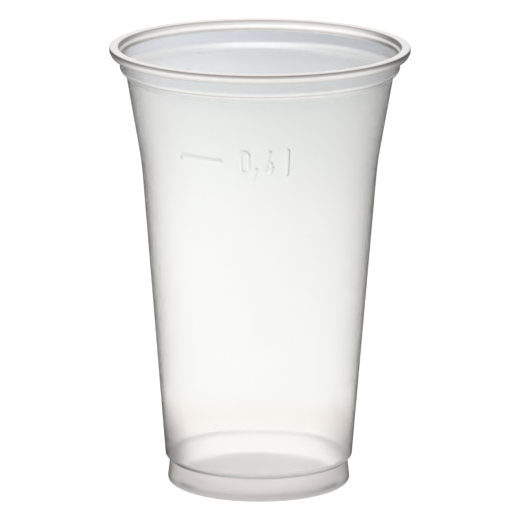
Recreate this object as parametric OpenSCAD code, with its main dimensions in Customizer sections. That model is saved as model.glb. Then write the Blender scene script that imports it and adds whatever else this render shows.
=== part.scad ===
// Disposable drinking cup, thermoformed in one piece from clear-milky polypropylene sheet.
// The axis is Z, the cup stands on z = 0 and its fill mark faces -Y.

/* [Overall] */
// Height from the table to the top of the rim
cup_h = 141.2; // [132:0.1:190]
// Diameter over the rolled rim
rim_d = 95; // [88:0.5:110]

/* [Rim] */
// Width of the rim's top, from the mouth to the outside
rim_w = 3; // [2.4:0.1:4.5]
// Height of the rolled rim
rim_h = 3.2; // [2.8:0.1:5]
// Thickness of the sheet in the roll
rim_t = 0.6; // [0.4:0.05:0.9]
// Height of the rim's upright outer face
rim_face_h = 1.5; // [1:0.1:2]
// How far the rim leans in below that face
rim_lean = 0.9; // [0:0.1:1.2]
// Rounding of the rim's upper outer edge
rim_round = 0.4; // [0.2:0.1:0.6]
// Rounding of the rim's lower outer edge
roll_round = 1.2; // [0.3:0.1:1.4]
// Gap between the end of the roll and the neck
roll_gap = 0.7; // [0.3:0.1:1]
// Height of the upright face inside the mouth
lip_h = 1.5; // [0.8:0.1:2]
// Height of the ledge below that face
ledge_h = 0.8; // [0.4:0.1:1.2]

/* [Neck] */
// How far the neck stands in from the outside of the rim
neck_in = 3.3; // [2.8:0.1:4.5]
// Height of the neck below the rim
neck_h = 4; // [2:0.1:10]
// Rounding at the foot of the neck
neck_round = 1.9; // [0.4:0.1:2.5]
// How far the wall steps in below the neck
step_in = 2; // [0.8:0.1:3.5]
// Height of that step
step_h = 1.7; // [0.8:0.1:3]

/* [Body] */
// Thickness of the wall
wall_t = 0.4; // [0.3:0.05:0.7]
// Diameter at the bottom of the body
body_d = 59.6; // [55:0.1:68]
// Rounding at the bottom of the body
body_round = 2.2; // [0.6:0.1:4]
// Diameter where the body turns outwards
bend_d = 74.7; // [68:0.1:82]
// Height where the body turns outwards
bend_h = 104.2; // [70:0.1:106]
// Radius of that turn
bend_round = 120; // [20:5:200]

/* [Foot] */
// Thickness of the base
base_t = 0.5; // [0.4:0.05:1]
// Diameter of the foot
foot_d = 58.4; // [52:0.1:62]
// Height of the foot, up to the groove
foot_h = 8.2; // [5:0.1:14]
// Rounding of the foot's lower edge
foot_round = 1.8; // [0.6:0.1:2.5]
// Depth of the groove below the foot's outside
groove_in = 0.9; // [0.3:0.1:2]
// Diameter of the raised panel in the base
panel_d = 50.6; // [30:0.1:52]
// Height of the panel's edge above the table
panel_h = 1.4; // [0.5:0.1:3]
// Extra height of the panel at its middle
dome_h = 0.5; // [0:0.1:2]

/* [Fill mark] */
// Depth of the fill line below the top of the rim
fill_drop = 29.1; // [20:0.1:60]
// Length of the fill line round the wall
line_l = 15.5; // [6:0.5:22]
// Height of the fill line's stroke
line_w = 1.2; // [0.6:0.1:2]
// Angle from the front to the middle of the fill line
line_angle = -28.5; // [-60:0.5:-26]
// Height of the figures
figure_h = 7.4; // [4:0.1:9]
// Width of the figures
figure_w = 3.5; // [2.4:0.1:4.4]
// Stroke of the figures
stroke_w = 0.8; // [0.5:0.1:1.2]
// How far the mark stands out from the wall
mark_t = 0.35; // [0.2:0.05:0.6]

/* [Hidden] */
$fn = 96;

// Largest turn of one facet in a rounded corner, and its largest length
turn_step = 12;
facet_l = 2.5;
// Number of facets from the middle of the domed panel to its edge
dome_steps = 6;
// Rounding of the corners that have no size of their own
soft = 0.5;
// Angles from the front to each figure of the mark
zero_angle = -6.5;
comma_angle = -1.4;
four_angle = 5.2;
litre_angle = 13.5;
// Height and lean of the comma, and how far it reaches below the figures
comma_h = 3;
comma_lean = 14;
comma_drop = 0.7;
// Height of the figure 4's bar above its foot, as a share of its height
four_bar = 0.2;

rim_r = rim_d / 2;
mouth_r = rim_r - rim_w;
neck_r = rim_r - neck_in;
shoulder_r = neck_r - step_in;
body_r = body_d / 2;
bend_r = bend_d / 2;
foot_r = foot_d / 2;
groove_r = foot_r - groove_in;
panel_r = panel_d / 2;
roll_r = neck_r + roll_gap;

rim_z = cup_h - rim_h;
lip_z = cup_h - lip_h;
ledge_z = lip_z - ledge_h;
neck_z = rim_z - neck_h;
shoulder_z = neck_z - step_h;
fill_z = cup_h - fill_drop;

// Unit vector along v
function unit(v) = v / norm(v);

// Arc that rounds the corner b between a and c, with its reach limited by the two sides
function rounded(a, b, c, radius) =
    let(
        u = unit(a - b),
        v = unit(c - b),
        half = acos(max(-1, min(1, u * v))) / 2,
        reach = min(radius / tan(half), 0.48 * norm(a - b), 0.48 * norm(c - b)),
        arc_r = reach * tan(half),
        centre = b + unit(u + v) * arc_r / sin(half),
        from = b + u * reach - centre,
        to = b + v * reach - centre,
        start = atan2(from.y, from.x),
        side = sign(from.x * to.y - from.y * to.x),
        turn = side * (180 - 2 * half),
        steps = max(ceil(abs(turn) / turn_step), ceil(arc_r * abs(turn) * PI / 180 / facet_l))
    )
    [for (i = [0 : steps]) centre + arc_r * [cos(start + turn * i / steps), sin(start + turn * i / steps)]];

// Outline through corners of [radius, height, rounding]; a corner with no rounding stays sharp
function outline(corners) =
    [for (i = [0 : len(corners) - 1])
        let(
            here = corners[i],
            last = corners[(i + len(corners) - 1) % len(corners)],
            next = corners[(i + 1) % len(corners)]
        )
        each here[2] == 0
            ? [[here.x, here.y]]
            : rounded([last.x, last.y], [here.x, here.y], [next.x, next.y], here[2])
    ];

// Height of the domed panel at a radius, above its edge
function dome(r) = dome_h * (1 - pow(r / panel_r, 2));

// Outer face, from the middle of the base out to the foot and up to the neck
outer_face = concat(
    [for (i = [0 : dome_steps - 1]) let(r = panel_r * i / dome_steps) [r, panel_h + dome(r), 0]],
    [
        [panel_r, panel_h, soft],
        [panel_r + panel_h / 2, 0, soft],
        [foot_r, 0, foot_round],
        [groove_r, foot_h, soft / 2],
        [body_r, foot_h + soft / 2, body_round],
        [bend_r, bend_h, bend_round],
        [shoulder_r, shoulder_z, soft],
        [neck_r, neck_z, neck_round]
    ]
);

// Hidden face of the rim, up from the neck, round inside the roll and out at its end
roll_inside = [
    [neck_r, ledge_z - rim_t / 2, soft],
    [mouth_r + rim_t, lip_z - rim_t / 2, soft],
    [mouth_r + rim_t, cup_h - rim_t, soft],
    [rim_r - rim_t, cup_h - rim_t, soft],
    [rim_r - rim_t, cup_h - rim_face_h, soft],
    [rim_r - rim_lean - rim_t, rim_z + rim_t, soft],
    [roll_r, rim_z + rim_t, 0],
    [roll_r, rim_z, 0]
];

// Visible face of the rim, from the end of the roll over the top and down into the mouth
roll_outside = [
    [rim_r - rim_lean, rim_z, roll_round],
    [rim_r, cup_h - rim_face_h, soft],
    [rim_r, cup_h, rim_round],
    [mouth_r, cup_h, soft],
    [mouth_r, lip_z, soft],
    [neck_r - wall_t, ledge_z, soft]
];

// Inner face, down from the neck to the middle of the base
inner_face = concat(
    [
        [neck_r - wall_t, neck_z + wall_t / 2, neck_round - wall_t],
        [shoulder_r - wall_t, shoulder_z + wall_t / 2, soft],
        [bend_r - wall_t, bend_h, bend_round],
        [body_r - wall_t, foot_h + soft / 2 + wall_t, body_round - wall_t],
        [groove_r - wall_t, foot_h + wall_t / 2, soft / 2],
        [foot_r - wall_t, base_t, foot_round - wall_t],
        [panel_r + panel_h / 2, base_t, soft],
        [panel_r, panel_h + base_t, soft]
    ],
    [for (i = [dome_steps - 1 : -1 : 0]) let(r = panel_r * i / dome_steps) [r, panel_h + dome(r) + base_t, 0]]
);

// Radius of the body's outer face at a height, on the taper above or below the turn
function body_at(z) =
    z > bend_h
        ? bend_r + (shoulder_r - bend_r) * (z - bend_h) / (shoulder_z - bend_h)
        : bend_r - (bend_r - body_r) * (bend_h - z) / (bend_h - foot_h);

// The formed sheet, turned about the axis
module shell() {
    rotate_extrude() polygon(outline(concat(outer_face, roll_inside, roll_outside, inner_face)));
}

// Ring of material that the mark is cut from, rooted in the wall
module mark_band() {
    low = fill_z - figure_h;
    high = fill_z + figure_h;
    heights = low < bend_h && bend_h < high ? [low, bend_h, high] : [low, high];
    top = len(heights) - 1;
    root = wall_t / 2;
    rotate_extrude() polygon(concat(
        [for (z = heights) [body_at(z) + mark_t, z]],
        [for (i = [top : -1 : 0]) [body_at(heights[i]) - root, heights[i]]]
    ));
}

// Stands a flat shape on the wall at an angle from the front
module on_wall(angle) {
    rotate([0, 0, angle]) translate([0, 0, fill_z]) rotate([90, 0, 0]) linear_extrude(rim_r) children();
}

// Upright bar with round ends, centred on the origin
module bar(width, height) {
    reach = max(0.01, height - width);
    square([width, reach], center = true);
    for (side = [-1, 1]) translate([0, side * reach / 2]) circle(d = width);
}

// The figure 0, an upright ring
module zero() {
    difference() {
        bar(figure_w, figure_h);
        bar(figure_w - 2 * stroke_w, figure_h - 2 * stroke_w);
    }
}

// The figure 4, open at the top: a leaning stroke, a bar across and a short stem
module four() {
    half_w = figure_w / 2;
    half_h = figure_h / 2;
    bar_y = figure_h * four_bar - half_h;
    bar_top = bar_y + stroke_w;
    stem = [half_w / 2 - stroke_w / 2, half_w / 2 + stroke_w / 2];
    polygon([
        [-half_w, bar_y],
        [stem[0], bar_y],
        [stem[0], -half_h],
        [stem[1], -half_h],
        [stem[1], bar_y],
        [half_w, bar_y],
        [half_w, bar_top],
        [stem[1], bar_top],
        [stem[1], 0],
        [stem[0], 0],
        [stem[0], bar_top],
        [stroke_w - half_w, bar_top],
        [stroke_w, half_h],
        [0, half_h],
        [-half_w, bar_top]
    ]);
}

// The comma, a short leaning stroke at the foot of the figures
module comma() {
    low = -figure_h / 2 - comma_drop;
    translate([0, low + comma_h / 2]) rotate(-comma_lean) bar(stroke_w, comma_h);
}

// Fill line and its figures, raised on the outer face
module fill_mark() {
    intersection() {
        mark_band();
        union() {
            on_wall(line_angle) rotate(90) bar(line_w, line_l);
            on_wall(zero_angle) zero();
            on_wall(comma_angle) comma();
            on_wall(four_angle) four();
            on_wall(litre_angle) bar(stroke_w, figure_h + stroke_w);
        }
    }
}

module cup() {
    color([0.92, 0.93, 0.93, 0.55]) union() {
        shell();
        fill_mark();
    }
}

cup();
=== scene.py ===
import math

import bpy
import numpy as np
from mathutils import Matrix, Vector


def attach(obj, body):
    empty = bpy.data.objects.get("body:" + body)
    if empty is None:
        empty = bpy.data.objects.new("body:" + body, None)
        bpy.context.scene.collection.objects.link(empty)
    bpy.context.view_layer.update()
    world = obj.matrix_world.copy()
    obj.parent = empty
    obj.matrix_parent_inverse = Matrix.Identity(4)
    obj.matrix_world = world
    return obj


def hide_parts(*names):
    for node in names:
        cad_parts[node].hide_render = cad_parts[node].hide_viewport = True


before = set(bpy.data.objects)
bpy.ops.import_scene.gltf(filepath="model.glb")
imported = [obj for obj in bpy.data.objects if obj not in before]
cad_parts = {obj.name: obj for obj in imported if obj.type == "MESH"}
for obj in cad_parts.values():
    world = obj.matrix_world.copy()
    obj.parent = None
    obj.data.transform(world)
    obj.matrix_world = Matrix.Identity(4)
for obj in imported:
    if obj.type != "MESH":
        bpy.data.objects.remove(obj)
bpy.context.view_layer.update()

MM = 0.001

# Sizes of the cup in millimetres, as in the part's source unless a comment says otherwise
CUP_H, RIM_R, MOUTH_R = 141.2, 47.5, 44.5
RIM_Z, RIM_FACE_Z, LIP_Z, LEDGE_Z = 138.0, 139.7, 139.7, 138.9
RIM_LEAN, RIM_ROUND, ROLL_ROUND = 0.9, 0.4, 1.2
# The rim is one solid bead here, so it meets the neck in a corner and not in a gap
BEAD_ROUND = 0.3
NECK_R, NECK_Z, NECK_ROUND = 44.2, 134.0, 1.9
# The shoulder under the neck is softer here than in the source
SHOULDER_R, SHOULDER_Z, SHOULDER_ROUND = 42.2, 132.3, 1.5
BEND_R, BEND_Z, BEND_ROUND = 37.35, 104.2, 120
BODY_R, BODY_ROUND = 29.8, 2.2
FOOT_R, FOOT_Z, FOOT_ROUND, GROOVE_R = 29.2, 8.2, 1.8, 28.3
PANEL_R, PANEL_H, DOME_H, BASE_T = 25.3, 1.4, 0.5, 0.5
WALL_T, SOFT = 0.4, 0.5

# How arcs are cut: degrees a step, millimetres a step, and how much of an edge one corner may take
ARC_TURN, ARC_STEP, EDGE_SHARE = 9, 2.5, 0.48
# Rings in the domed panel of the base
PANEL_RINGS = 6

# The fill mark, whose line slopes and whose figures are a little narrower than in the source: its middle
# height, how far it stands out, and how wide its flanks are
FILL_Z, MARK_T, FLANK = 112.1, 0.35, 0.9
# The sheet is thinner in the mark, so its inside stands back further than its outside stands out
INSIDE = 1.4
# The fill line: degrees from the front, ends, stroke, flanks, and its share of the mark's height
LINE_AT, LINE_ENDS, LINE_W, LINE_FLANK, LINE_SHARE = -28.5, ((-6.8, 0.05), (6.5, -0.65)), 1.6, 1.5, 0.75
# It fades in at its left end, from this place on and over this length
FADE_FROM, FADE_L = -8.0, 1.6
# The figures: width, height, stroke, and how far they sit below the fill line's height
FIGURE_W, FIGURE_H, STROKE, FIGURE_DROP = 3.2, 7.4, 0.8, 0.25
# Degrees from the front to each figure's middle, and two figures' share of the mark's height
ZERO_AT, COMMA_AT, FOUR_AT, LITRE_AT = -7.1, -2.1, 4.1, 13.0
ZERO_SHARE, LITRE_SHARE = 0.9, 1.1
COMMA_ENDS, COMMA_DROP = ((-0.27, -4.0), (0.27, -1.8)), 0.8
# Radius of the wall at the mark, and the step over which the mark's slopes are taken
MARK_R, SLOPE_STEP = 38.5, 0.02

# The mark's rows, in millimetres, and columns, in degrees: the first, the last, and how far apart they lie
MARK_LOW, MARK_HIGH, MARK_ROW = 107, 118, 0.2
MARK_LEFT, MARK_RIGHT, MARK_COLUMN = -43, 19, 0.25
# A plain row lies this far below and above them, and round the rest of the cup the columns lie this far apart
PLAIN_ROW, COLUMN = 1.5, 2.0
# An added row keeps this far from the section's own rows: one of the mark's, and a plain one
ROW_GAP, PLAIN_GAP = 0.05, 0.3
# Between these radii the wall can carry the mark
WALL_FROM, WALL_TO = 36, 42.6
HAIR = 0.01


def unit(v):
    return v / np.hypot(*v)


def right_of(v):
    """Outward normal of an outline that runs up the outside and down the inside."""
    return np.array([v[1], -v[0]])


def rounded(last, here, after, radius):
    """Points and normals of the arc that rounds a corner."""
    u, v = unit(last - here), unit(after - here)
    half = math.acos(np.clip(u @ v, -1, 1)) / 2
    room = EDGE_SHARE * min(np.hypot(*(last - here)), np.hypot(*(after - here)))
    reach = min(radius / math.tan(half), room)
    start, end = right_of(-u), right_of(v)
    angle = math.pi - 2 * half
    side = np.sign(start[0] * end[1] - start[1] * end[0])
    arc_r = reach * math.tan(half)
    centre = here + u * reach - start * arc_r * side
    steps = max(2, math.ceil(math.degrees(angle) / ARC_TURN), math.ceil(arc_r * angle / ARC_STEP))
    out = []
    for i in range(steps + 1):
        a = side * angle * i / steps
        cos, sin = math.cos(a), math.sin(a)
        normal = np.array([start[0] * cos - start[1] * sin, start[0] * sin + start[1] * cos])
        out.append((centre + normal * arc_r * side, normal))
    return out


def section():
    """Rows of the cup from the middle of the base, up the outside, over the rim and down the inside."""
    def dome(r):
        return PANEL_H + DOME_H * (1 - (r / PANEL_R) ** 2)

    rings = [PANEL_R * k / PANEL_RINGS for k in range(PANEL_RINGS)]
    panel_foot, body_z = PANEL_R + PANEL_H / 2, FOOT_Z + SOFT / 2
    corners = [(r, dome(r), 0) for r in rings]
    corners += [(PANEL_R, PANEL_H, SOFT), (panel_foot, 0, SOFT), (FOOT_R, 0, FOOT_ROUND),
                (GROOVE_R, FOOT_Z, SOFT / 2), (BODY_R, body_z, BODY_ROUND), (BEND_R, BEND_Z, BEND_ROUND),
                (SHOULDER_R, SHOULDER_Z, SHOULDER_ROUND), (NECK_R, NECK_Z, NECK_ROUND)]
    corners += [(NECK_R, RIM_Z, BEAD_ROUND), (RIM_R - RIM_LEAN, RIM_Z, ROLL_ROUND), (RIM_R, RIM_FACE_Z, SOFT),
                (RIM_R, CUP_H, RIM_ROUND), (MOUTH_R, CUP_H, SOFT), (MOUTH_R, LIP_Z, SOFT)]
    corners += [(NECK_R - WALL_T, LEDGE_Z, SOFT), (NECK_R - WALL_T, NECK_Z + WALL_T / 2, NECK_ROUND - WALL_T),
                (SHOULDER_R - WALL_T, SHOULDER_Z + WALL_T / 2, SHOULDER_ROUND),
                (BEND_R - WALL_T, BEND_Z, BEND_ROUND),
                (BODY_R - WALL_T, body_z + WALL_T, BODY_ROUND - WALL_T),
                (GROOVE_R - WALL_T, FOOT_Z + WALL_T / 2, SOFT / 2),
                (FOOT_R - WALL_T, BASE_T, FOOT_ROUND - WALL_T), (panel_foot, BASE_T, SOFT),
                (PANEL_R, PANEL_H + BASE_T, SOFT)]
    corners += [(r, dome(r) + BASE_T, 0) for r in reversed(rings)]
    places = [np.array(c[:2], float) for c in corners]
    rows = []
    for k, (r, _, radius) in enumerate(corners):
        if radius:
            rows += rounded(places[k - 1], places[k], places[k + 1], radius)
        else:
            slope = 2 * DOME_H * r / PANEL_R ** 2
            rows.append((places[k], unit(np.array([slope, 1.0])) * (-1 if k < len(rings) else 1)))
    return rows


def to_stroke(u, v, ends, width):
    """Signed distance from points to a stroke with round ends."""
    (ax, ay), (bx, by) = ends
    dx, dy = bx - ax, by - ay
    t = np.clip(((u - ax) * dx + (v - ay) * dy) / max(dx * dx + dy * dy, 1e-9), 0, 1)
    return np.hypot(u - ax - t * dx, v - ay - t * dy) - width / 2


def to_ring(u, v):
    """Signed distance from points to the figure 0."""
    half_w, half_h = (FIGURE_W - STROKE) / 2, (FIGURE_H - STROKE) / 2
    over = np.maximum(np.abs(v) - (half_h - half_w), 0)
    return np.abs(np.hypot(u, over) - half_w) - STROKE / 2


# The strokes of the figure 4: its slope, its bar and its upright
HALF_W, HALF_H = FIGURE_W / 2, FIGURE_H / 2
FOUR_BAR = FIGURE_H * 0.2 - HALF_H + STROKE / 2
FOUR = [((STROKE / 2, HALF_H - STROKE / 2), (STROKE / 2 - HALF_W, FOUR_BAR)),
        ((STROKE / 2 - HALF_W, FOUR_BAR), (HALF_W - STROKE / 2, FOUR_BAR)),
        ((HALF_W / 2, -STROKE / 2), (HALF_W / 2, STROKE / 2 - HALF_H))]
LITRE_ENDS = ((0, -HALF_H), (0, HALF_H))


def mark_height(angle, z):
    """Height of the mark over the wall, at degrees from the front and a height."""
    wall_r = BEND_R + (SHOULDER_R - BEND_R) * (z - BEND_Z) / (SHOULDER_Z - BEND_Z)
    v = z - FILL_Z

    def across(middle):
        return wall_r * np.radians(angle - middle)

    rise = np.clip((across(LINE_AT) - FADE_FROM) / FADE_L, 0, 1)
    strokes = [(to_stroke(across(LINE_AT), v, LINE_ENDS, LINE_W), LINE_FLANK, LINE_SHARE * rise),
               (to_ring(across(ZERO_AT), v + FIGURE_DROP), FLANK, ZERO_SHARE),
               (to_stroke(across(COMMA_AT), v + COMMA_DROP, COMMA_ENDS, STROKE), FLANK, 1),
               (to_stroke(across(LITRE_AT), v + FIGURE_DROP, LITRE_ENDS, STROKE), FLANK, LITRE_SHARE)]
    strokes += [(to_stroke(across(FOUR_AT), v + FIGURE_DROP, ends, STROKE), FLANK, 1) for ends in FOUR]
    best = np.zeros(np.shape(angle))
    for distance, flank, share in strokes:
        t = np.clip(0.5 - distance / flank, 0, 1)
        best = np.maximum(best, MARK_T * share * t * t * (3 - 2 * t))
    return best


def relief(angle, z):
    """Height of the mark over the wall, and how steeply it rises round the wall and up it."""
    turn, step = np.degrees(SLOPE_STEP / MARK_R), SLOPE_STEP
    round_wall = (mark_height(angle + turn, z) - mark_height(angle - turn, z)) / (2 * step)
    up_wall = (mark_height(angle, z + step) - mark_height(angle, z - step)) / (2 * step)
    return mark_height(angle, z), round_wall, up_wall


def sheet_rows(rows):
    """Adds rows where the mark is, and says which rows carry it: 1 outside, -1 inside, 0 elsewhere."""
    mark_rows = np.arange(MARK_LOW, MARK_HIGH + MARK_ROW / 2, MARK_ROW)
    plain_rows = (MARK_LOW - PLAIN_ROW, MARK_HIGH + PLAIN_ROW)
    out = []
    for (place, normal), (place2, normal2) in zip(rows, rows[1:] + rows[-1:]):
        heights = [place[1]]
        if WALL_FROM < min(place[0], place2[0]) and max(place[0], place2[0]) < WALL_TO:
            first, last = sorted((place[1], place2[1]))
            extra = [z for z in mark_rows if first + ROW_GAP < z < last - ROW_GAP]
            extra += [z for z in plain_rows if first + PLAIN_GAP < z < last - PLAIN_GAP]
            heights += sorted(extra, reverse=bool(place2[1] < place[1]))
        for z in heights:
            t = (z - place[1]) / (place2[1] - place[1]) if z != place[1] else 0
            marked = MARK_LOW - HAIR <= z <= MARK_HIGH + HAIR and WALL_FROM < place[0] < WALL_TO
            here = place + (place2 - place) * t
            out.append((here, unit(normal + (normal2 - normal) * t), marked * (1 if normal[0] > 0 else -1)))
    return out


def strip(a1, low, a2, high):
    """Faces between two rings, which may have different columns, or of which one may be a single point."""
    if len(low) == 1:
        return [(low[0], high[(k + 1) % len(high)], high[k]) for k in range(len(high))]
    if len(high) == 1:
        return [(low[k], low[(k + 1) % len(low)], high[0]) for k in range(len(low))]
    if len(low) == len(high):
        return [(low[k], low[(k + 1) % len(low)], high[(k + 1) % len(low)], high[k]) for k in range(len(low))]
    faces, i, j = [], 0, 0
    ends1, ends2 = list(a1) + [a1[0] + 360], list(a2) + [a2[0] + 360]
    while i < len(low) or j < len(high):
        if j == len(high) or (i < len(low) and ends1[i + 1] <= ends2[j + 1]):
            faces.append((low[i], low[(i + 1) % len(low)], high[j % len(high)]))
            i += 1
        else:
            faces.append((low[i % len(low)], high[(j + 1) % len(high)], high[j]))
            j += 1
    return faces


def cup_mesh():
    """The whole sheet as one closed mesh, turned round the cup's axis, with the mark raised out of it."""
    coarse = np.arange(-180, 180, COLUMN)
    fine = np.arange(MARK_LEFT, MARK_RIGHT + HAIR, MARK_COLUMN)
    dense = np.unique(np.round(np.concatenate([coarse, fine]), 4))
    points, normals, rings = [], [], []
    for place, normal, side in sheet_rows(section()):
        if place[0] < 1e-6:
            rings.append((np.array([0.0]), [len(points)]))
            points.append((0, 0, place[1]))
            normals.append((0, 0, normal[1]))
            continue
        angles = dense if side else coarse
        a = np.radians(angles)
        out = np.stack([np.sin(a), -np.cos(a), 0 * a], 1)
        along = np.stack([np.cos(a), np.sin(a), 0 * a], 1)
        n = out * normal[0] + np.array([0, 0, 1]) * normal[1]
        p = out * place[0] + np.array([0, 0, 1]) * place[1]
        if side:
            depth = 1 if side > 0 else INSIDE
            h, h_round, h_up = (v * depth for v in relief(angles, np.full(len(a), place[1])))
            up = np.cross(n, along) * -side
            up *= np.sign(up[:, 2:3])
            p = p + n * (h * side)[:, None]
            n = n - side * (along * h_round[:, None] + up * h_up[:, None])
            n /= np.linalg.norm(n, axis=1)[:, None]
        rings.append((angles, list(range(len(points), len(points) + len(a)))))
        points += p.tolist()
        normals += n.tolist()
    faces = []
    for (a1, low), (a2, high) in zip(rings, rings[1:]):
        faces += strip(a1, low, a2, high)
    mesh = bpy.data.meshes.new("cup_sheet")
    mesh.from_pydata([tuple(c * MM for c in p) for p in points], [], faces)
    mesh.shade_smooth()
    mesh.normals_split_custom_set_from_vertices(normals)
    return mesh


class Wire:
    """A socket of a node tree that takes part in Python sums."""

    def __init__(self, tree, socket):
        self.tree, self.socket = tree, socket

    def math(self, operation, *others):
        return node(self.tree, "ShaderNodeMath", {"operation": operation}, [self, *others])[0]

    def __add__(self, other):
        return self.math("ADD", other)

    def __sub__(self, other):
        return self.math("SUBTRACT", other)

    def __mul__(self, other):
        return self.math("MULTIPLY", other)

    def __rsub__(self, other):
        return node(self.tree, "ShaderNodeMath", {"operation": "SUBTRACT"}, [other, self])[0]

    __radd__, __rmul__ = __add__, __mul__

    def over(self, other):
        """The larger of the two."""
        return self.math("MAXIMUM", other)

    def under(self, other):
        """The smaller of the two."""
        return self.math("MINIMUM", other)


def node(tree, kind, settings=(), values=()):
    """Adds a node, sets it, fills its sockets by place or by name, and gives back its outputs."""
    made = tree.nodes.new(kind)
    for name, value in dict(settings).items():
        if name == "stops":
            ramp = made.color_ramp
            while len(ramp.elements) < len(value):
                ramp.elements.new(1)
            for element, (place, colour) in zip(ramp.elements, value):
                element.position, element.color = place, (*colour, 1)
        else:
            setattr(made, name, value)
    pairs = values.items() if isinstance(values, dict) else enumerate(values)
    for place, value in pairs:
        if isinstance(value, Wire):
            tree.links.new(value.socket, made.inputs[place])
        else:
            made.inputs[place].default_value = value
    return [Wire(tree, s) for s in made.outputs]


def mixed(tree, share, first, second):
    """Colour that goes from the first to the second as share goes from 0 to 1."""
    made = tree.nodes.new("ShaderNodeMix")
    made.data_type = "RGBA"
    for socket, value in ((made.inputs[0], share), (made.inputs[6], first), (made.inputs[7], second)):
        if isinstance(value, Wire):
            tree.links.new(value.socket, socket)
        else:
            socket.default_value = value if isinstance(value, float) else (*value, 1)
    return Wire(tree, made.outputs[2])


def times(tree, first, second):
    """Product of two colours, or of a colour and a number."""
    return node(tree, "ShaderNodeVectorMath", {"operation": "MULTIPLY"}, [first, second])[0]


def ranged(tree, value, low, high, at_low, at_high):
    """Number that goes from at_low to at_high as value goes from low to high, and no further."""
    return node(tree, "ShaderNodeMapRange", {}, [value, low, high, at_low, at_high])[0]


def looked_up(tree, value, table, full=1.0):
    """Looks a number or a colour up in a table of stops, whose places reach up to full."""
    stops = [(h / full, v if isinstance(v, tuple) else (v, v, v)) for h, v in table]
    return node(tree, "ShaderNodeValToRGB", {"stops": stops}, [value])[0]


def new_material(name):
    material = bpy.data.materials.new(name)
    material.use_nodes = True
    material.node_tree.nodes.clear()
    return material, material.node_tree


def rays_of(tree):
    return {wire.socket.name: wire for wire in node(tree, "ShaderNodeLightPath")}


def grey(level):
    return (level, level, level)


# The tables by height go up to 142 mm, past the rim, because its flat top counts as 0.4 mm higher than it is.
# The tables by radius go out to 50 mm
TALL, BROAD = 142, 50
# How white the sheet is, by height: the rolled rim is thick, and the sheet is drawn at the bends.
# The white carries the painted shade and highlight bands of the tint below
MILK = [(0, 0.05), (7.4, 0.05), (7.65, 0.25), (8.1, 0.25), (8.3, 0.15), (8.8, 0.15), (9.6, 0.05),
        (132.6, 0.05), (132.95, 0.1), (133.6, 0.1), (134.0, 0.05), (137.6, 0.05), (138.0, 0.92), (142, 0.92)]
# The same for the outside alone: the standing edge of the foot, the groove, and the step below the neck,
# where the white carries painted shade and a painted highlight
OUTER_MILK = [(0, 0.5), (2.2, 0.5), (3.4, 0), (7.4, 0), (7.65, 0.85), (8.1, 0.85), (8.3, 0.25), (8.8, 0.25),
              (9.6, 0), (131.2, 0), (132.0, 0.5), (132.8, 0.85), (133.3, 0.93), (133.9, 0.93), (134.5, 0)]
# The same for the corner of the raised panel, by radius, where the white carries the foot's painted shade
PANEL_MILK = [(0, 0), (25.0, 0), (25.4, 0.2), (26.4, 0.2), (27.0, 0), (50, 0)]
# The white's tint by height, with painted shade: dark along the foot, the groove, the step, under the rim and
# round its top edge
PALE = (0.95, 0.95, 0.94)
TINT_AND_PAINTED_SHADE = [(0, (0.54, 0.52, 0.505)), (0.9, (0.54, 0.52, 0.505)), (1.8, (0.44, 0.42, 0.41)),
        (2.4, (0.44, 0.42, 0.41)), (3.3, PALE), (7.5, PALE), (7.72, (0.35, 0.34, 0.34)),
        (8.0, (0.35, 0.34, 0.34)), (8.2, grey(0.72)), (9.6, (0.85, 0.85, 0.84)), (9.8, PALE), (132.8, PALE),
        (132.88, (0.35, 0.32, 0.3)), (133.1, (0.35, 0.32, 0.3)), (133.2, (0.8, 0.8, 0.78)),
        (134.2, (0.8, 0.8, 0.78)), (134.6, PALE), (137.8, PALE), (138.0, (0.5, 0.49, 0.47)),
        (138.4, (0.66, 0.65, 0.63)), (139.0, (0.83, 0.82, 0.8)), (139.3, (0.88, 0.87, 0.85)),
        (140.0, (0.88, 0.87, 0.85)), (140.2, (0.75, 0.72, 0.7)), (140.5, (0.45, 0.41, 0.39)),
        (140.65, (0.31, 0.27, 0.255)), (141.25, (0.34, 0.3, 0.285)), (141.4, (0.55, 0.51, 0.5)),
        (141.5, (0.97, 0.96, 0.94)), (142, (0.97, 0.96, 0.94))]
# What the outside's white is multiplied by, by height: a painted highlight on the step and the rim's face,
# and painted shade round the rim's top edge
OUTER_HIGHLIGHT_AND_SHADE = [(0, 0.9), (132, 0.9), (133, 1.24), (134.2, 1.24), (134.5, 0.9), (137.8, 0.9), (138.2, 1.13),
              (140.1, 1.13), (140.4, 0.6), (141.3, 0.6), (141.45, 0.9), (142, 0.9)]
# How rough the sheet is, by height: rougher at the bends
ROUGH = [(0, 0.35), (9.0, 0.35), (9.8, 0.15), (15, 0.15), (18, 0.06), (32, 0.06), (36, 0.15), (131.1, 0.15),
         (131.8, 0.35), (134.4, 0.35), (135, 0.15), (137, 0.15), (138, 0.3), (142, 0.3)]
# Where the rim's inner lip lies, by radius
LIP = [(0, 0), (44.3, 0), (44.4, 1), (44.7, 1), (45.1, 0), (50, 0)]
# The clear sheet's tint by height, with painted shade: the neck is a little darker and cooler
CLEAR = [(0, (1.0, 0.985, 0.975)), (7.4, (1.0, 0.985, 0.975)), (9.5, (0.9845, 0.99, 0.971)),
         (127, (0.9845, 0.99, 0.971)), (130.5, (0.945, 0.95, 0.935)), (133.9, (0.945, 0.95, 0.935)),
         (134.6, (0.89, 0.91, 0.93)), (142, (0.89, 0.91, 0.93))]
# What the near wall's outside is multiplied by, by height: painted warm light makes the neck warmer there
OUTER_CLEAR = [(0, (1, 1, 1)), (133.9, (1, 1, 1)), (134.6, (1.0, 0.985, 0.945)), (142, (1.0, 0.985, 0.945))]
# Painted shade and light on the neck's inside at the back: how much darker on the right and brighter on the
# left it is, by height
BACK_NECK_LIGHT_AND_SHADE = [(0, 0), (134.2, 0), (134.6, 0.12), (142, 0.12)]
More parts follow.
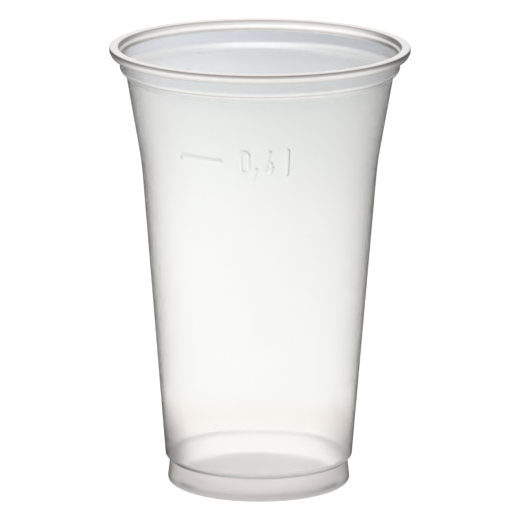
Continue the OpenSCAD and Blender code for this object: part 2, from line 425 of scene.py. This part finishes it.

# The tables below go by how far the sheet turns edge on, from 0 square on to 1 edge on, unless they say that
# they go by height.
# Painted shade on the clear sheet, darker and warmer as it turns edge on: how much light it keeps
PAINTED_EDGE_SHADE = [(0, (1, 1, 1)), (0.25, (1, 1, 1)), (0.4, (1, 0.985, 0.985)), (0.6, (1.0, 0.98, 0.98)),
        (0.7, (0.96, 0.935, 0.93)), (0.8, (0.56, 0.535, 0.52)), (0.9, (0.4, 0.375, 0.36)),
        (1, (0.36, 0.33, 0.315))]
# Painted shade as the sheet turns edge on: how dark the white gets, the foot gets, and the lower wall with
# its wide dark edge gets
DARK = [(0, 0), (0.11, 0.01), (0.25, 0.05), (0.35, 0.18), (0.455, 0.4), (0.573, 0.66), (0.7, 0.82), (1, 0.84)]
FOOT_DARK = [(0, 0), (0.45, 0), (0.573, 0.17), (0.7, 0.52), (0.82, 0.85), (1, 0.9)]
WIDE = [(0, 0), (0.25, 0), (0.33, 0.08), (0.4, 0.15), (0.455, 0.25), (0.573, 0.48), (0.7, 0.6), (1, 0.62)]
# How far up that wide painted dark edge reaches, by height
LOW = [(0, 0), (7.4, 0), (8.2, 1), (12, 1), (16, 0.85), (20, 0.6), (23, 0.3), (28, 0), (142, 0)]
# How much of the foot's painted shade its clear wall takes, by height
FOOT_WALL = [(0, 0.4), (2.4, 0.4), (3.4, 0.7), (7.4, 0.7), (8.0, 0), (142, 0)]
# Where the foot's painted shade gives way to the rest's in the white, by height
ABOVE_FOOT = [(0, 0), (3, 0), (5, 1), (142, 1)]
# The foot shows a painted dark crescent of shade on each side: by height, and by how far it turns edge on
CRESCENT_Z = [(0, 0), (1.0, 0), (1.9, 1), (2.6, 1), (4.6, 0), (142, 0)]
CRESCENT = [(0, 0.15), (0.1, 0.16), (0.22, 0.25), (0.33, 0.62), (0.46, 0.68), (0.57, 0.15), (1, 0)]
# The inside of the rim is darker at the far left and right with painted shade, by height
RIM_SIDES = [(0, 0), (138.6, 0), (138.9, 1), (139.9, 1), (140.3, 0.35), (141.2, 0), (142, 0)]
# A painted dark wedge of shade lies over the groove on the left, by height
WEDGE_Z = [(0, 0), (7.2, 0), (7.6, 1), (8.6, 1), (10, 0), (142, 0)]

# In metres: a face that looks up counts as this much higher than it is, and the rim's inner lip as this much
# lower
FACE_SHIFT = 0.0004
# A face that looks down counts as less edge on by this much
DOWN_FACING = 0.42
# Ranges of how far a face looks away from the axis, times its radius in metres: the outside, and the wedge's
OUTSIDE, WEDGE_OUTSIDE = (0.001, 0.003), (0.0, 0.002)
WEDGE_MILK = 0.93
# From which lean to which a face stops being upright
UPRIGHT = (0.4, 0.95)
# Ranges from the middle, 0, to the far right, 1: the wedge on the left, and the sides of the rim's inside
WEDGE_SIDE, RIM_SIDE, RIM_SIDE_DARK = (-0.25, -0.85), (0.86, 1.0), 0.5
# How much darker the white gets to the right, as painted shade: on the inside, on the outside, and by turning
# edge on sooner
INSIDE_RIGHT_SHADE, OUTSIDE_RIGHT_SHADE, RIGHT_SOONER = 0.12, 0.06, 0.07
# The wide painted dark edge is narrower and paler on the right, ends this many millimetres lower there, and
# is paler again by this much on the far wall's inside
WIDE_RIGHT_PALER, WIDE_LOWER, FAR_WIDE = 0.15, 3, 0.45
# The clear wall turns dark sooner on the left, as painted shade, by this much below and above these two
# heights in metres
LEFT_DARK, LEFT_DARK_Z = (0.015, 0.05), (0.115, 0.135)
# The colours that the white and the clear sheet go to where they carry painted shade
DARK_WHITE, DARK_CLEAR = (0.05, 0.05, 0.052), (0.02, 0.01, 0.0)
# Polypropylene: how it bends light, how rough its white is, and how much light that white lets through
IOR, WHITE_ROUGH, WHITE_THROUGH, THROUGH_COLOUR = 1.49, 0.4, 0.35, (0.95, 0.94, 0.93, 1)
# How much the haze adds to the roughness, and the light that the cup lets fall through to its shadow
HAZE, SHADE = 0.04, (0.93, 0.93, 0.93, 1)


def milky_plastic(name):
    """Clear sheet with a share of white in it, which lets the lamps through; both carry painted shade in
    their colours.
    """
    material, tree = new_material(name)
    coordinates = node(tree, "ShaderNodeTexCoord")
    normal, place = coordinates[1], coordinates[3]
    x, _, z = node(tree, "ShaderNodeSeparateXYZ", {}, [place])
    side, _, lean = node(tree, "ShaderNodeSeparateXYZ", {}, [normal])
    flat = times(tree, place, (1, 1, 0))
    radius = node(tree, "ShaderNodeVectorMath", {"operation": "LENGTH"}, [flat])[1]
    outward = node(tree, "ShaderNodeVectorMath", {"operation": "DOT_PRODUCT"}, [normal, flat])[1]
    spread = radius * (1 / (BROAD * MM))
    lip = looked_up(tree, spread, LIP, BROAD)
    level = (z + lean * FACE_SHIFT - lip * FACE_SHIFT) * (1 / (TALL * MM))

    def at_height(table):
        return looked_up(tree, level, table, TALL)

    # Which way the sheet is turned. towards is 1 on faces turned to the eye, and of those, outer is 1 on the
    # near wall's outside and back on the far wall's inside
    facing = node(tree, "ShaderNodeLayerWeight", {}, {"Blend": 0.5})[1] + lean.under(0.0) * DOWN_FACING
    towards = 1 - node(tree, "ShaderNodeNewGeometry")[6]
    outer = ranged(tree, outward, *OUTSIDE, 0.0, 1.0) * towards
    back = towards - outer
    upright = ranged(tree, lean, *UPRIGHT, 1.0, 0.0)
    east = x.math("DIVIDE", radius)
    right = east.over(0.0)

    # How white it is: the painted crescent and wedge of shade make it white where they lie
    crescent = at_height(CRESCENT_Z) * looked_up(tree, facing, CRESCENT) * outer
    wedge = at_height(WEDGE_Z) * ranged(tree, east, *WEDGE_SIDE, 0.0, 1.0)
    wedge = wedge * ranged(tree, outward, *WEDGE_OUTSIDE, 0.0, WEDGE_MILK) * towards
    milk = at_height(MILK).over(at_height(OUTER_MILK) * outer)
    milk = milk.over(looked_up(tree, spread, PANEL_MILK, BROAD)).over(crescent).over(wedge)

    # The white's colour, with its painted shade and highlight
    above = at_height(ABOVE_FOOT)
    foot_dark = looked_up(tree, facing, FOOT_DARK)
    right_shade = east * (1 - outer) * INSIDE_RIGHT_SHADE + right * outer * OUTSIDE_RIGHT_SHADE
    dark = looked_up(tree, facing + right * RIGHT_SOONER, DARK) * (1 + right_shade) * above
    dark = (dark + foot_dark * (1 - above)) * upright
    sideways = ranged(tree, east.math("ABSOLUTE"), *RIM_SIDE, 0.0, RIM_SIDE_DARK)
    dark = dark.over(at_height(RIM_SIDES) * sideways * (1 - outer))
    tint_and_painted_light = at_height(TINT_AND_PAINTED_SHADE)
    tint_and_painted_light = mixed(tree, outer, tint_and_painted_light, times(tree, tint_and_painted_light, at_height(OUTER_HIGHLIGHT_AND_SHADE)))
    tint_and_painted_light = mixed(tree, (dark + crescent).over(wedge), tint_and_painted_light, DARK_WHITE)

    # The clear sheet's colour, with its painted shade
    wide = looked_up(tree, facing - side * WIDE_RIGHT_PALER, WIDE) * (1 - side * WIDE_RIGHT_PALER)
    low = looked_up(tree, level + right * (WIDE_LOWER / TALL), LOW, TALL)
    wide = wide * low * (1 - right * back * FAR_WIDE)
    wide = wide.over(foot_dark * at_height(FOOT_WALL) * upright)
    left_dark = ranged(tree, z, *LEFT_DARK_Z, *LEFT_DARK)
    through = times(tree, looked_up(tree, facing - east * left_dark, PAINTED_EDGE_SHADE), at_height(CLEAR))
    through = times(tree, through, 1 - at_height(BACK_NECK_LIGHT_AND_SHADE) * east * back)
    through = times(tree, through, mixed(tree, outer, (1, 1, 1), at_height(OUTER_CLEAR)))
    through = mixed(tree, wide, through, DARK_CLEAR)

    haze = node(tree, "ShaderNodeTexNoise", {},
                {"Vector": place, "Scale": 60.0, "Detail": 3.0, "Roughness": 0.5})[0]
    clear = node(tree, "ShaderNodeBsdfPrincipled", {}, {
        "Base Color": through, "Roughness": haze * HAZE + at_height(ROUGH), "IOR": IOR,
        "Transmission Weight": 1.0})[0]
    front = node(tree, "ShaderNodeBsdfPrincipled", {},
                 {"Base Color": tint_and_painted_light, "Roughness": WHITE_ROUGH, "IOR": IOR})[0]
    behind = node(tree, "ShaderNodeBsdfTranslucent", {}, [THROUGH_COLOUR])[0]
    white = node(tree, "ShaderNodeMixShader", {}, [tint_and_painted_light.math("MULTIPLY", WHITE_THROUGH), front, behind])[0]
    sheet = node(tree, "ShaderNodeMixShader", {}, [milk, clear, white])[0]
    shade = node(tree, "ShaderNodeBsdfTransparent", {}, [SHADE])[0]
    surface = node(tree, "ShaderNodeMixShader", {}, [rays_of(tree)["Is Shadow Ray"], sheet, shade])[0]
    node(tree, "ShaderNodeOutputMaterial", {}, {"Surface": surface})
    return material


# A painted pool of light, with painted shadow under the foot and painted shade far off: what the cup's wall
# shows of the floor, by distance from the cup's axis in metres
PAINTED_POOL = [(0.0, (1.08, 1.035, 1.035)), (0.005, (1.085, 1.04, 1.04)), (0.0075, (1.155, 1.11, 1.11)),
        (0.012, (1.17, 1.125, 1.125)), (0.0165, (1.205, 1.16, 1.16)), (0.0195, (1.1, 1.06, 1.06)),
        (0.0235, (0.93, 0.9, 0.9)), (0.029, (0.92, 0.9, 0.9)), (0.032, grey(1.045)),
        (0.048, (1.06, 1.04, 1.035)), (0.068, (1.04, 0.985, 0.98)), (0.086, (0.99, 0.94, 0.935)),
        (0.098, (1.02, 0.985, 0.98)), (0.108, grey(1.02)), (0.145, grey(1.035)), (0.2, grey(1.04)),
        (0.35, grey(1.015)), (0.44, grey(0.995)), (0.53, (0.86, 0.865, 0.885)), (0.6, (0.755, 0.77, 0.805)),
        (0.72, (0.64, 0.66, 0.70)), (1.0, (0.56, 0.58, 0.615))]
# Under the foot it is darker towards the front and brighter towards the back, as painted shadow and light, by
# this much at each distance
SWING = [(0, 0), (0.019, 0), (0.0245, 0.45), (0.03, 0.45), (0.033, 0), (1, 0)]
BACK_SWING = [(0, 0), (0.01, 0), (0.0235, 0.4), (0.03, 0.45), (0.0325, 0.3), (0.034, 0), (1, 0)]
# From where to where northwards, in metres, those two fade: out from FRONT_FULL to 0, and in from 0 to 1
FRONT_FADE, FRONT_FULL, BACK_FADE = (-0.003, 0.0086), 0.93, (0.0, 0.021)
# Behind the cup it is darker on the right and brighter on the left, as painted shade and light: the rate on
# each side, and its limits
RIGHT_FALL, LEFT_FALL, MOST_FALL, LEAST_FALL = 6.0, 8.0, 0.6, -0.13
# The floor's half width, and how far it lies under the cup's foot
FLOOR_HALF, FLOOR_Z = 6.0, -2e-5
# How bright the floor is in the cup's gloss and as plain light, and to the camera its own light and the matt
# grey that keeps the shadow
FLOOR_GLOSS, FLOOR_LIT, FLOOR_WHITE, FLOOR_MATT = 0.05, 1.08, 0.93, 0.1
# How bright the sky is through the cup's wall and in its gloss, by how far up it is, and as plain light
SKY_THROUGH = [(0.0, grey(0.6)), (0.1, grey(0.6)), (0.4, grey(0.3)), (1.0, grey(0.3))]
SKY_GLOSS = [(0.0, grey(0.4)), (0.5, grey(0.3)), (1.0, grey(0.3))]
SKY_LIT = 0.85


def seen_by_cup(tree, through, gloss, lit):
    """What the cup's gloss shows, what shows through its wall, and plain light for the rest."""
    rays = rays_of(tree)
    seen = mixed(tree, rays["Is Glossy Ray"], grey(lit), gloss)
    seen = mixed(tree, rays["Is Transmission Ray"], seen, through)
    return mixed(tree, rays["Diffuse Depth"].under(1.0), seen, grey(lit)), rays["Is Camera Ray"]


def floor_piece():
    """A white floor that keeps the cup's shadow, and shows the cup a painted pool of light and shadow."""
    mesh = bpy.data.meshes.new("floor")
    corners = [(FLOOR_HALF * x, FLOOR_HALF * y, FLOOR_Z) for x, y in ((-1, -1), (1, -1), (1, 1), (-1, 1))]
    mesh.from_pydata(corners, [], [(0, 1, 2, 3)])
    floor = bpy.data.objects.new("floor", mesh)
    bpy.context.scene.collection.objects.link(floor)
    material, tree = new_material("white_floor")
    place = node(tree, "ShaderNodeNewGeometry")[0]
    away = node(tree, "ShaderNodeVectorMath", {"operation": "LENGTH"}, [place])[1]
    east, north, _ = node(tree, "ShaderNodeSeparateXYZ", {}, [place])
    # The painted pool of light, with painted shadow under the foot and painted shade behind the cup on the
    # right
    to_front = ranged(tree, north, *FRONT_FADE, FRONT_FULL, 0.0)
    to_back = ranged(tree, north, *BACK_FADE, 0.0, 1.0)
    beyond = east * north.over(0.0)
    fall = (beyond * RIGHT_FALL).under(beyond * LEFT_FALL).under(MOST_FALL).over(LEAST_FALL)
    fall = fall + looked_up(tree, away, SWING) * to_front - looked_up(tree, away, BACK_SWING) * to_back
    painted_pool = node(tree, "ShaderNodeVectorMath", {"operation": "SCALE"},
                {"Vector": looked_up(tree, away, PAINTED_POOL), "Scale": 1 - fall})[0]
    seen, by_camera = seen_by_cup(tree, painted_pool, grey(FLOOR_GLOSS), FLOOR_LIT)
    glow = node(tree, "ShaderNodeEmission", {}, [seen, 1.0])[0]
    white = node(tree, "ShaderNodeEmission", {}, [(1, 1, 1, 1), FLOOR_WHITE])[0]
    matt = node(tree, "ShaderNodeBsdfDiffuse", {}, [(*grey(FLOOR_MATT), 1)])[0]
    ground = node(tree, "ShaderNodeAddShader", {}, [white, matt])[0]
    surface = node(tree, "ShaderNodeMixShader", {}, [by_camera, glow, ground])[0]
    node(tree, "ShaderNodeOutputMaterial", {}, {"Surface": surface})
    material.cycles.emission_sampling = "NONE"
    mesh.materials.append(material)


def sky():
    """White to the camera, and greyer to the cup."""
    world = bpy.data.worlds.new("studio")
    world.use_nodes = True
    tree = world.node_tree
    tree.nodes.clear()
    up = node(tree, "ShaderNodeSeparateXYZ", {}, [node(tree, "ShaderNodeTexCoord")[0]])[2]
    through, gloss = looked_up(tree, up, SKY_THROUGH), looked_up(tree, up, SKY_GLOSS)
    seen, by_camera = seen_by_cup(tree, through, gloss, SKY_LIT)
    background = node(tree, "ShaderNodeBackground", {}, [mixed(tree, by_camera, seen, grey(1.0)), 1.0])[0]
    node(tree, "ShaderNodeOutputWorld", {}, {"Surface": background})
    bpy.context.scene.world = world


# The lamps look at a point on the cup's axis. Each has its place, width, height and power
LAMP_AIM = (0, 0, 0.07)
LAMPS = {"top_box": ((0, -0.25, 1.2), 0.7, 0.7, 7.0), "left_box": ((-1.1, -0.5, 0.9), 0.9, 1.2, 5.4)}


def lamp(name, place, width, height, power):
    """A soft box that faces the cup."""
    data = bpy.data.lights.new(name, "AREA")
    data.shape, data.size, data.size_y, data.energy = "RECTANGLE", width, height, power
    lit = bpy.data.objects.new(name, data)
    bpy.context.scene.collection.objects.link(lit)
    lit.location = place
    lit.rotation_euler = (Vector(LAMP_AIM) - Vector(place)).to_track_quat("-Z", "Y").to_euler()
    lit.visible_camera = lit.visible_glossy = False


# The camera as it was fitted to the photo: place in metres, degrees that it looks down and leans, lens, shift
EYE, LOOKS_DOWN, LEANS = (0, -1.7313, 0.47614), 13.14, 0.181
SENSOR, LENS, SHIFT_X, NEAREST, FURTHEST = 36, 387.1, 0.00128, 0.05, 50


def camera():
    data = bpy.data.cameras.new("camera")
    data.sensor_width, data.lens, data.shift_x = SENSOR, LENS, SHIFT_X
    data.clip_start, data.clip_end = NEAREST, FURTHEST
    view = bpy.data.objects.new("camera", data)
    bpy.context.scene.collection.objects.link(view)
    pitch, roll = math.radians(LOOKS_DOWN), math.radians(LEANS)
    flat_up = Vector((0, math.sin(pitch), math.cos(pitch)))
    right = Vector((1, 0, 0)) * math.cos(roll) + flat_up * math.sin(roll)
    up = flat_up * math.cos(roll) - Vector((1, 0, 0)) * math.sin(roll)
    back = -Vector((0, math.cos(pitch), -math.sin(pitch)))
    turn = Matrix((right, up, back)).transposed()
    view.matrix_world = Matrix.Translation(EYE) @ turn.to_4x4()
    bpy.context.scene.camera = view


cup = bpy.data.objects.new("cup_sheet", cup_mesh())
bpy.context.scene.collection.objects.link(cup)
cup.data.materials.append(milky_plastic("milky_plastic"))
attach(cup, "root")
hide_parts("cup")

floor_piece()
sky()
for lamp_name, (spot, *box) in LAMPS.items():
    lamp(lamp_name, spot, *box)
camera()
bpy.context.scene.view_settings.view_transform = "Standard"
